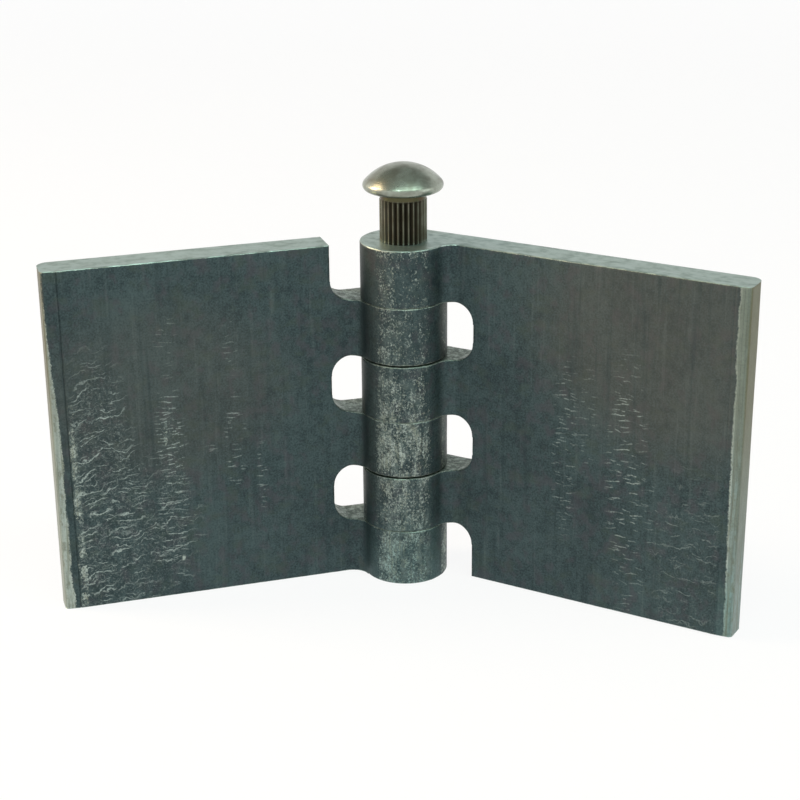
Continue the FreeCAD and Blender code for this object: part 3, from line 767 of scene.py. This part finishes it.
    def relief(self, section: Section, vertex: np.ndarray, points: np.ndarray) -> np.ndarray:
        """Depth of the rolled surface at each point, never proud of the rolled size, in mm.

        The sum of a long wave, a fine pebble and, where the scale has creased, ridges along the
        level lines of a rippled height: one minus the ripple's size over its width.
        """
        along, up = section.along[vertex], points[:, 2] + 1
        around = section.around
        wave = 0.03 * ripple(along, up, (13.0, 19.0), self.seed, around)
        pebble = 0.012 * ripple(along, up, (2.2, 3.1), self.seed + 1, around)
        fold = ripple(along, up + 1.2 * ripple(along, up, (7.0, 9.0), self.seed + 2, around) + 2,
                      (5.5, 1.9), self.seed + 3, around)
        ridge = np.clip(1 - np.abs(fold) / 0.22, 0, 1)
        creased = np.maximum(self.weight(self.creased, points), self.weight(self.ticked, points))
        return np.minimum(wave + pebble + 0.07 * creased * ridge - 0.09, 0)

    def mesh(self) -> bpy.types.Object:
        """Carry the section's net along the bar, leave the notches out and keep the boundary."""
        section = self.section()
        heights, knuckle = self.levels()
        rows = len(heights)
        cells = section.cells
        centre = section.points[cells].mean(1)
        plate = -centre[:, 0] > self.notch_wall
        solid = plate[:, None] | knuckle[None]

        empty = np.zeros((len(cells), 1), bool)
        above = np.concatenate([solid[:, 1:], empty], 1)
        below = np.concatenate([empty, solid[:, :-1]], 1)
        faces, kinds = [], []
        cell, row = np.nonzero(solid & ~above)
        faces.append(cells[cell] * rows + (row + 1)[:, None])
        kinds.append(np.where(row + 2 == rows, Surface.SAWN.value, Surface.NOTCHED.value))
        cell, row = np.nonzero(solid & ~below)
        faces.append(cells[cell][:, ::-1] * rows + row[:, None])
        kinds.append(np.where(row == 0, Surface.SAWN.value, Surface.NOTCHED.value))

        start, end = cells.ravel(), np.roll(cells, -1, axis=1).ravel()
        owner = np.repeat(np.arange(len(cells)), 4)
        size = len(section.points)
        key, mirror = start * size + end, end * size + start
        order = np.argsort(key)
        found = np.searchsorted(key[order], mirror).clip(0, len(key) - 1)
        match = key[order][found] == mirror
        beside = np.where(match, owner[order][found], -1)
        neighbour_solid = np.concatenate([solid, np.zeros((1, solid.shape[1]), bool)])[beside]
        edge, row = np.nonzero(solid[owner] & ~neighbour_solid)
        faces.append(np.c_[start[edge] * rows + row, end[edge] * rows + row,
                           end[edge] * rows + row + 1, start[edge] * rows + row + 1])
        inside = section.bore[start[edge]] & section.bore[end[edge]]
        kind = np.where(beside[edge] >= 0, Surface.NOTCHED.value, Surface.ROLLED.value)
        kinds.append(np.where(inside, Surface.BORED.value, kind))

        faces = np.concatenate(faces)
        kinds = np.concatenate(kinds)
        used, faces = np.unique(faces, return_inverse=True)
        faces = faces.reshape(-1, 4)
        vertex, level = used // rows, used % rows
        flat = section.points[vertex]
        points = np.c_[flat, heights[level]]
        points[:, 2] += self.shift(-flat[:, 0], heights[level])
        points, arris = self.finish_surface(section, vertex, points, faces, kinds)
        return self.piece(points, faces, kinds, arris)

    def finish_surface(self, section: Section, vertex: np.ndarray, points: np.ndarray,
                       faces: np.ndarray, kinds: np.ndarray) -> tuple[np.ndarray, np.ndarray]:
        """Break the edges and give the rolled faces their relief.

        Where a sawn face meets a rolled one, the shared point moves in along both faces' normals,
        by about a third of the chamfer; the next line of the net lies one chamfer further in.

        Returns:
            The points, and which of them lie on such an edge.
        """
        corners = points[faces]
        normal = np.cross(corners[:, 2] - corners[:, 0], corners[:, 3] - corners[:, 1])
        normal /= np.linalg.norm(normal, axis=1)[:, None] + 1e-12
        pull = np.zeros_like(points)
        met = np.ones(len(points), bool)
        for group in ((Surface.ROLLED,), (Surface.SAWN, Surface.NOTCHED)):
            chosen = np.isin(kinds, [kind.value for kind in group])
            total = np.zeros_like(points)
            np.add.at(total, faces[chosen].ravel(), np.repeat(normal[chosen], 4, axis=0))
            length = np.linalg.norm(total, axis=1)
            met &= length > 0
            pull += total / (length[:, None] + 1e-12)
        rag = ripple(section.along[vertex], points[:, 2] + 1, (1.7, 1.7), self.seed + 7, section.around)
        worn = self.edge_break * (0.34 + 0.16 * rag)
        points = points - pull * (met * worn)[:, None]
        depth = self.relief(section, vertex, points)
        points[:, :2] += section.outward[vertex] * depth[:, None]
        return points, met

    def piece(self, points: np.ndarray, faces: np.ndarray, kinds: np.ndarray,
              arris: np.ndarray) -> bpy.types.Object:
        """Make the object, with what its materials read at each vertex."""
        standing = self.standing(points)
        obj = solid_object(self.name, standing * METRES, faces, math.radians(34))
        obj.data.polygons.foreach_set("material_index", kinds.astype(np.int32))
        carry(obj, PLACE, np.c_[points[:, :2], standing[:, 2]] + self.seed * np.array([37.0, 0, 11.0]) * self.turned)
        carry(obj, WEAR, self.rubbed(points, standing, arris))
        out = -points[:, 0]
        inside = ease(-out, self.strip - self.reach + 0.2, self.strip - self.reach + 1.2)
        carry(obj, CREASED, self.weight(self.creased, points) * inside)
        carry(obj, TICKED, self.weight(self.ticked, points))
        up = standing[:, 2]
        end = self.end_rust * ease(out, self.reach - 0.9, self.reach - 0.1) * (0.4 + 0.6 * ease(up, 25, 80))
        turn = self.turn(standing)
        on_eye = ease(-np.hypot(points[:, 0], points[:, 1]), -self.barrel - 1.2, -self.barrel + 0.2)
        # Painted warm light on the eye's left where the key lamp falls, and a painted warm reflection in its side band.
        brown = on_eye * (0.2 * ease(-turn, 116, 140) + 0.5 * ease(-self.apart(turn, self.reflection_flank), -20, -10))
        green = np.maximum(on_eye, self.turned * ease(out, self.reach - 5, self.reach - 4)) * ease(-up, -30, -8)
        carry(obj, WARMTH, np.maximum.reduce([self.weight(self.warm, points), end, brown]) - 0.8 * green)
        LOG.info("%s: %d points, %d faces", self.name, len(points), len(faces))
        return obj

    @staticmethod
    def turn(standing: np.ndarray) -> np.ndarray:
        """Direction of each point from the pin axis, in degrees from -180 to 180."""
        return np.degrees(np.arctan2(standing[:, 1], standing[:, 0]))

    @staticmethod
    def apart(turn: np.ndarray, middle: float) -> np.ndarray:
        """How many degrees each direction is from the middle one."""
        return np.abs((turn - middle + 180) % 360 - 180)

    def rubbed(self, points: np.ndarray, standing: np.ndarray, arris: np.ndarray) -> np.ndarray:
        """How far the scale is rubbed off at each point: 0.5 leaves specks, 1.2 leaves none of it.

        It has gone from the broken edges and from the strip along the outer edge, in blobs beside
        the seam, and from the side of the eye that turns to the front, more so lower down; that front
        band is partly a painted sheen. Along one side of the eye it is raised as a painted reflection,
        and a little on the eye's front left as painted warm light. It is below zero on the eye's left,
        which paints shade there.
        """
        out, up = -points[:, 0], standing[:, 2]
        turn = self.turn(standing)
        eye = ease(-np.hypot(standing[:, 0], standing[:, 1]), -self.barrel - 1.2, -self.barrel + 0.2)
        # Front band of wear, centred on the side facing the front: partly worn scale, partly a painted sheen.
        front_rub_and_sheen = ease(-self.apart(turn, self.rub_and_sheen_middle), -self.rub_and_sheen_half - 13, -self.rub_and_sheen_half + 13)
        levels = (np.arange(len(self.rub_and_sheen_levels)) + 0.5) * (self.knuckle + self.play)
        # The small lift near -137 degrees is painted warm light on the eye's front left.
        share = np.interp(up, levels, self.rub_and_sheen_levels) + 0.05 * ease(-self.apart(turn, -137), -22, -8)
        share += 0.08 * ease(up, self.height - 2.6, self.height + 0.2)
        # Painted reflection: a side band of the eye made bare and bright, fading upwards.
        reflection_flank = 0.66 * (1 - up / self.reflection_flank_fade) * ease(-self.apart(turn, self.reflection_flank), -17, -9)
        # Painted shade: the scale on the eye's left side is pushed below zero and darkened.
        thick = 0.75 * eye * ease(-self.apart(turn, 165), -42, -16) * (reflection_flank < 0.3)
        eye *= np.maximum(front_rub_and_sheen * share, reflection_flank)
        ragged = 0.25 * ripple(np.clip(out, 0, self.reach), up + 1, (3.0, 4.5), self.seed + 9, self.reach)
        front = points[:, 1] < self.front + 1.2
        seam = self.reach - self.strip
        blobs = ripple(np.clip(out, 0, self.reach), up + 1, (1.9, 2.6), self.seed + 8, self.reach)
        beside_seam = self.beside_seam * ease(-np.abs(out - seam + 1.3), -2.1, -0.7) * front
        beside_seam *= (0.86 + 0.3 * blobs) * ease(-up, -74, -52)
        bare_from = np.interp(up, self.bare_up, self.bare_from) + ragged
        strip = self.bare_wear * ease(out, bare_from - self.bare_soft, bare_from + self.bare_soft)
        wear = np.maximum.reduce([self.weight(self.worn, points), eye, beside_seam, strip])
        return np.where(arris, 1.0, wear - thick)

    def dress(self, obj: bpy.types.Object, finishes: list[bpy.types.Material]) -> None:
        """Give the leaf its finishes and hang it on its body."""
        for finish in finishes:
            obj.data.materials.append(finish)
        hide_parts(self.node)
        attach(obj, self.node)


def carry(obj: bpy.types.Object, name: str, values: np.ndarray) -> None:
    """Store a number or a vector at each vertex, for the materials."""
    kind = "FLOAT_VECTOR" if values.ndim == 2 else "FLOAT"
    layer = obj.data.attributes.new(name, kind, "POINT")
    layer.data.foreach_set("vector" if values.ndim == 2 else "value", values.astype(np.float32).ravel())


def solid_object(name: str, points: np.ndarray, faces: np.ndarray, crease: float) -> bpy.types.Object:
    """Link a closed mesh, smooth except where faces meet more sharply than crease.

    Args:
        name: the piece's name.
        points: places in metres.
        faces: four corners each; a face whose last two corners are one is a triangle.
        crease: angle in radians.

    Returns:
        The new object, at the origin.
    """
    mesh = bpy.data.meshes.new(name)
    triangle = faces[:, 2] == faces[:, 3]
    counts = np.where(triangle, 3, 4)
    keep = np.ones(faces.shape, bool)
    keep[triangle, 3] = False
    loops = faces[keep]
    mesh.vertices.add(len(points))
    mesh.vertices.foreach_set("co", points.astype(np.float32).ravel())
    mesh.loops.add(len(loops))
    mesh.loops.foreach_set("vertex_index", loops.astype(np.int32))
    mesh.polygons.add(len(faces))
    mesh.polygons.foreach_set("loop_start", np.concatenate([[0], np.cumsum(counts)[:-1]]).astype(np.int32))
    mesh.polygons.foreach_set("loop_total", counts.astype(np.int32))
    mesh.update(calc_edges=True)
    mesh.validate()
    mesh.polygons.foreach_set("use_smooth", np.ones(len(faces), bool))
    mesh.set_sharp_from_angle(angle=crease)
    obj = bpy.data.objects.new(name, mesh)
    bpy.context.scene.collection.objects.link(obj)
    return obj


@dataclass
class HingePin:
    """The pin, turned in one piece: shank, straight knurl, neck and mushroom head."""

    name: str = "hinge_pin_turned"
    node: str = "hinge_pin"
    datum: float = 100.5
    length: float = 85.0
    shank: float = 6.27
    tip_chamfer: float = 1.2
    knurl_length: float = 12.0
    crest: float = 6.6
    groove_depth: float = 0.5
    ridges: int = 28
    lead: float = 0.15
    neck: float = 6.5
    neck_length: float = 2.3
    head: float = 11.2
    head_height: float = 7.5
    rim: float = 1.5
    turned_by: float = 2.0
    around: int = 336

    def groove(self, turn: np.ndarray) -> np.ndarray:
        """Radius inside the knurl: root times one plus the angle from a groove, up to the crest."""
        pitch = 2 * math.pi / self.ridges
        off = np.abs((turn + pitch / 2) % pitch - pitch / 2)
        return np.minimum((self.crest - self.groove_depth) * (1 + off), self.crest)

    def rows(self) -> tuple[np.ndarray, np.ndarray, np.ndarray]:
        """Height, plain radius and share of knurling of each ring, from the tip to the crown."""
        rim_out = self.head - self.rim
        under = self.knurl_length + self.neck_length
        rise = self.head_height - self.rim
        dome = (rim_out ** 2 + rise ** 2 - self.rim ** 2) / (2 * (rise - self.rim))
        dome_z = under + self.head_height - dome
        tangent = math.atan2(under + self.rim - dome_z, rim_out)
        rings = [(-self.length, 0.0, 0), (-self.length, 2.5, 0)]
        rings += [(-self.length, self.shank - self.tip_chamfer, 0)]
        rings += [(z, self.shank, 0) for z in np.linspace(self.tip_chamfer - self.length, 0, 46)]
        rings += [(0, self.crest - self.lead, 1)]
        rings += [(z, self.crest, 1) for z in np.linspace(self.lead, self.knurl_length - self.lead, 16)]
        rings += [(self.knurl_length, self.crest - self.lead, 1), (self.knurl_length, self.neck, 0)]
        rings += [(z, self.neck, 0) for z in np.linspace(self.knurl_length + 0.4, under - 0.4, 4)]
        rings += [(under - 0.12, self.neck + 0.12, 0)]
        rings += [(under, r, 0) for r in np.linspace(self.neck + 0.4, rim_out, 7)]
        bend = np.linspace(-math.pi / 2, tangent, 12)[1:]
        rings += list(zip(under + self.rim + self.rim * np.sin(bend),
                          rim_out + self.rim * np.cos(bend), np.zeros(len(bend))))
        climb = np.linspace(tangent, math.pi / 2, 38)[1:]
        rings += list(zip(dome_z + dome * np.sin(climb), dome * np.cos(climb), np.zeros(len(climb))))
        table = np.array(rings, float)
        return table[:, 0], table[:, 1], table[:, 2]

    def mesh(self) -> bpy.types.Object:
        """Turn the rings about the pin's axis, with the groove's radius inside the knurl."""
        height, radius, knurled = self.rows()
        turn = np.arange(self.around) * 2 * math.pi / self.around
        grid = np.where(knurled[:, None] > 0, np.minimum(radius[:, None], self.groove(turn)[None]),
                        radius[:, None])
        level = np.broadcast_to(height[:, None], grid.shape)
        angle = turn + math.radians(self.turned_by)
        own = np.stack([grid * np.cos(angle), grid * np.sin(angle), level], -1)
        tip, crown = own[0, 0], own[-1, 0]
        body = own[1:-1].reshape(-1, 3)
        points = np.concatenate([[tip], body, [crown]])
        rows = len(height) - 2
        ids = 1 + np.arange(rows * self.around).reshape(rows, self.around)
        after = np.roll(ids, -1, axis=1)
        sides = np.stack([ids[:-1], after[:-1], after[1:], ids[1:]], -1).reshape(-1, 4)
        last = len(points) - 1
        foot = np.stack([after[0], ids[0], np.zeros(self.around, int), np.zeros(self.around, int)], -1)
        top = np.stack([ids[-1], after[-1], np.full(self.around, last), np.full(self.around, last)], -1)
        faces = np.concatenate([sides, foot, top])
        place = points + np.array([0, 0, self.datum])
        obj = solid_object(self.name, place * METRES, faces, math.radians(28))
        carry(obj, PLACE, points)
        in_knurl = (points[:, 2] > -0.01) & (points[:, 2] < self.knurl_length + 0.01)
        turn = np.degrees(np.arctan2(points[:, 1], points[:, 0]))
        half = 180 / self.ridges
        # Dark grooves in the knurl: oil and painted shade, darkest on the side that faces the front.
        groove_oil_and_shade = ease(-np.abs((turn - self.turned_by + half) % (2 * half) - half), -0.98 * half, -0.6 * half)
        groove_oil_and_shade *= 0.26 + 0.68 * ease(-np.abs((turn + 286) % 360 - 180), -80, -30)
        carry(obj, WEAR, np.where(in_knurl, groove_oil_and_shade, 0.0))
        neck = ease(points[:, 2], self.knurl_length - 0.2, self.knurl_length + 0.2)
        neck *= ease(-points[:, 2], -self.knurl_length - self.neck_length - 0.2,
                     -self.knurl_length - self.neck_length + 0.2)
        under = self.knurl_length + self.neck_length
        # A tan patch high on the dome's left: a painted warm reflection of the left lamp.
        film = 0.35 * ease(points[:, 2], under + 2.4, under + 3.6) * ease(np.hypot(points[:, 0], points[:, 1]), 2.5, 6)
        film *= ease(-np.abs((turn + 340) % 360 - 180), -50, -15)
        # The knurl's oil fades at the crests' lower ends, leaving painted glints where their chamfers meet the light.
        knurl = in_knurl * (0.05 + 0.65 * ease(points[:, 2], 0.2, 1.0))
        carry(obj, WARMTH, np.maximum.reduce([neck, film, knurl]))
        LOG.info("%s: %d points, %d faces", self.name, len(points), len(faces))
        return obj

    def dress(self, obj: bpy.types.Object, finish: bpy.types.Material) -> None:
        """Give the pin its finish and hang it on its body."""
        obj.data.materials.append(finish)
        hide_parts(self.node)
        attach(obj, self.node)


@dataclass
class Studio:
    """A pale floor, soft lamps and the camera of the photograph.

    Angles are degrees and lengths millimetres; the photograph is 800 pixels square.
    """

    azimuth: float = -16.272
    elevation: float = 21.296
    roll: float = -0.769
    target: tuple[float, float, float] = (-8.02, 3.25, 47.649)
    distance: float = 544.298
    focal_px: float = 1885.855
    centre_px: tuple[float, float] = (374.787, 415.79)
    frame_px: float = 800.0
    sensor_mm: float = 36.0
    floor_colour: str = "#f9fafa"
    floor_glow: float = 0.9
    wall_glow: float = 0.99
    wall_height: float = 1.9
    world_colour: str = "#dfe8e4"
    world_strength: float = 0.46

    def camera(self) -> None:
        """Stand the camera where the photograph was taken."""
        azimuth, elevation, roll = (math.radians(v) for v in (self.azimuth, self.elevation, self.roll))
        back = Vector((math.sin(azimuth) * math.cos(elevation),
                       -math.cos(azimuth) * math.cos(elevation), math.sin(elevation)))
        right = Vector((math.cos(azimuth), math.sin(azimuth), 0))
        up = back.cross(right)
        across = right * math.cos(roll) + up * math.sin(roll)
        above = up * math.cos(roll) - right * math.sin(roll)
        data = bpy.data.cameras.new("camera")
        data.sensor_width = self.sensor_mm
        data.lens = self.focal_px * self.sensor_mm / self.frame_px
        data.shift_x = (self.frame_px / 2 - self.centre_px[0]) / self.frame_px
        data.shift_y = (self.centre_px[1] - self.frame_px / 2) / self.frame_px
        data.clip_start, data.clip_end = 0.01, 20
        camera = bpy.data.objects.new("camera", data)
        turn = Matrix((across, above, back)).transposed().to_4x4()
        turn.translation = (Vector(self.target) + back * self.distance) * METRES
        camera.matrix_world = turn
        bpy.context.scene.collection.objects.link(camera)
        bpy.context.scene.camera = camera

    def lamp(self, name: str, place: tuple[float, float, float], size: tuple[float, float],
             watts: float, colour: str) -> None:
        """Hang a soft oblong lamp, aimed at the hinge.

        Args:
            name: the lamp's name.
            place: where it hangs, in metres.
            size: its width and height, in metres.
            watts: its power.
            colour: its colour.
        """
        data = bpy.data.lights.new(name, "AREA")
        data.shape = "RECTANGLE"
        data.size, data.size_y = size
        data.energy = watts
        data.color = linear(colour)[:3]
        lamp = bpy.data.objects.new(name, data)
        lamp.location = place
        aim = Vector(self.target) * METRES - Vector(place)
        lamp.rotation_euler = aim.to_track_quat("-Z", "Y").to_euler()
        bpy.context.scene.collection.objects.link(lamp)

    def floor(self) -> None:
        """Lay a pale floor that keeps the hinge's shadow and turns up into a low round wall.

        Rings of radius r and height z carry the surface; it glows more the further out it lies.
        """
        bend = np.linspace(0, math.pi / 2, 13)
        radius = np.concatenate([[0.001, 0.25, 0.5, 0.8, 1.2, 1.6], 1.8 + 0.5 * np.sin(bend), [2.3]])
        height = np.concatenate([np.zeros(6), 0.5 - 0.5 * np.cos(bend), [self.wall_height]])
        sides = 96
        turn = np.arange(sides) * 2 * math.pi / sides
        points = np.stack([radius[:, None] * np.cos(turn), radius[:, None] * np.sin(turn),
                           np.broadcast_to(height[:, None], (len(radius), sides))], -1).reshape(-1, 3)
        ids = np.arange(len(points)).reshape(len(radius), sides)
        after = np.roll(ids, -1, axis=1)
        faces = np.stack([ids[:-1], ids[1:], after[1:], after[:-1]], -1).reshape(-1, 4)
        obj = solid_object("floor", points, faces, math.pi)
        share = self.floor_glow + (self.wall_glow - self.floor_glow) * ease(radius, 0.5, 1.6)
        carry(obj, GLOW, np.repeat(share, sides))
        obj.data.materials.append(self.paint())

    def paint(self) -> bpy.types.Material:
        """Pale paint, part of whose light reaches only the camera and mirror-like rays."""
        material = bpy.data.materials.new("pale_floor_paint")
        material.use_nodes = True
        tree = material.node_tree
        tree.nodes.clear()
        path = add(tree, "ShaderNodeLightPath")
        seen = add(tree, "ShaderNodeMath", {0: path.outputs["Is Camera Ray"],
                                            1: path.outputs["Is Glossy Ray"]}, operation="MAXIMUM")
        seen = add(tree, "ShaderNodeMath", {0: seen.outputs[0], 1: path.outputs["Is Transmission Ray"]},
                   operation="MAXIMUM")
        glow = add(tree, "ShaderNodeAttribute", attribute_name=GLOW)
        share = add(tree, "ShaderNodeMath", {0: seen.outputs[0], 1: glow.outputs["Fac"]},
                    operation="MULTIPLY")
        paint = add(tree, "ShaderNodeBsdfDiffuse", {"Color": linear(self.floor_colour)})
        light = add(tree, "ShaderNodeEmission", {"Color": (1, 1, 1, 1), "Strength": 1.0})
        both = add(tree, "ShaderNodeMixShader", {0: share.outputs[0], 1: paint.outputs[0],
                                                 2: light.outputs[0]})
        add(tree, "ShaderNodeOutputMaterial", {"Surface": both.outputs[0]})
        return material

    def world(self) -> None:
        """Fill the room with even light."""
        world = bpy.data.worlds.new("studio")
        world.use_nodes = True
        sky = world.node_tree.nodes["Background"]
        sky.inputs["Color"].default_value = linear(self.world_colour)
        sky.inputs["Strength"].default_value = self.world_strength
        bpy.context.scene.world = world

    def build(self) -> None:
        """Set up the whole studio."""
        self.camera()
        self.floor()
        self.world()
        self.lamp("key_left", (-0.79, 0.33, 0.56), (0.32, 0.62), 10.0, "#ffdcb8")
        self.lamp("high_front", (0.0, -0.50, 0.98), (1.10, 0.18), 5.0, "#e2fff4")
        self.lamp("fill_right", (0.8, -0.6, 0.5), (0.6, 0.6), 2.0, "#e6f4f2")
        bpy.context.scene.view_settings.view_transform = "Standard"


def main() -> None:
    """Build the hinge round its frame, piece by piece, and report each."""
    logging.basicConfig(level=logging.INFO, format="%(message)s")
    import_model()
    low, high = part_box("left_leaf")
    height = round(high.z / METRES, 3)
    reach = round(-low.x / METRES, 3)
    barrel = round(high.y / METRES, 3)

    Studio().build()
    finishes = [MillScale().build(), SawnSteel().build(), ReamedSteel().build(), CutSteel().build()]
    left = Leaf(
        "left_leaf_rolled", "left_leaf", height, reach, barrel, seed=11,
        creased=(Patch(88.5, 32, 12, 46), Patch(80, 20, 21, 28, 0.75)),
        ticked=(Patch(68, 34, 5, 34), Patch(49.5, 45, 3.4, 16, 0.6), Patch(42, 34, 1.6, 12, 0.6),
                Patch(68, 78, 4, 10, 0.25), Patch(50, 74, 2.4, 10, 0.25), Patch(57, 44, 2.6, 1.4, 0.4)),
        worn=(Patch(69.2, 50, 1.0, 5.5, 0.62), Patch(66, 11.4, 0.6, 1.1, 1.1)),
        warm=(Patch(70, 62, 40, 30, 0.3),),
    )
    left.dress(left.mesh(), finishes)
    right = Leaf(
        "right_leaf_rolled", "right_leaf", height, reach, barrel, seed=31, turned=True,
        bare_from=(98.2, 97.8, 97.5, 97.4), bare_soft=0.7, bare_wear=1.35,
        # Its eye's side band is a painted reflection.
        end_rust=1.1, beside_seam=0.3, reflection_flank=172.0, reflection_flank_fade=105.0, seam_depth=0.12,
        creased=(Patch(87, 22, 12, 27, 0.36),),
        ticked=(Patch(49.5, 48, 4.2, 30, 0.5), Patch(56.5, 56, 2.8, 17, 0.35), Patch(68, 44, 6.2, 34, 0.72),
                Patch(70, 12, 5, 14, 0.4), Patch(76, 30, 2.4, 13, 0.35)),
        # The warm patch on its upper right is painted warm light, with some brown film.
        warm=(Patch(80, 84, 44, 40, 0.5),),
    )
    right.dress(right.mesh(), finishes)
    pin = HingePin()
    pin.dress(pin.mesh(), TurnedSteel().build())


if __name__ == "__main__":
    main()
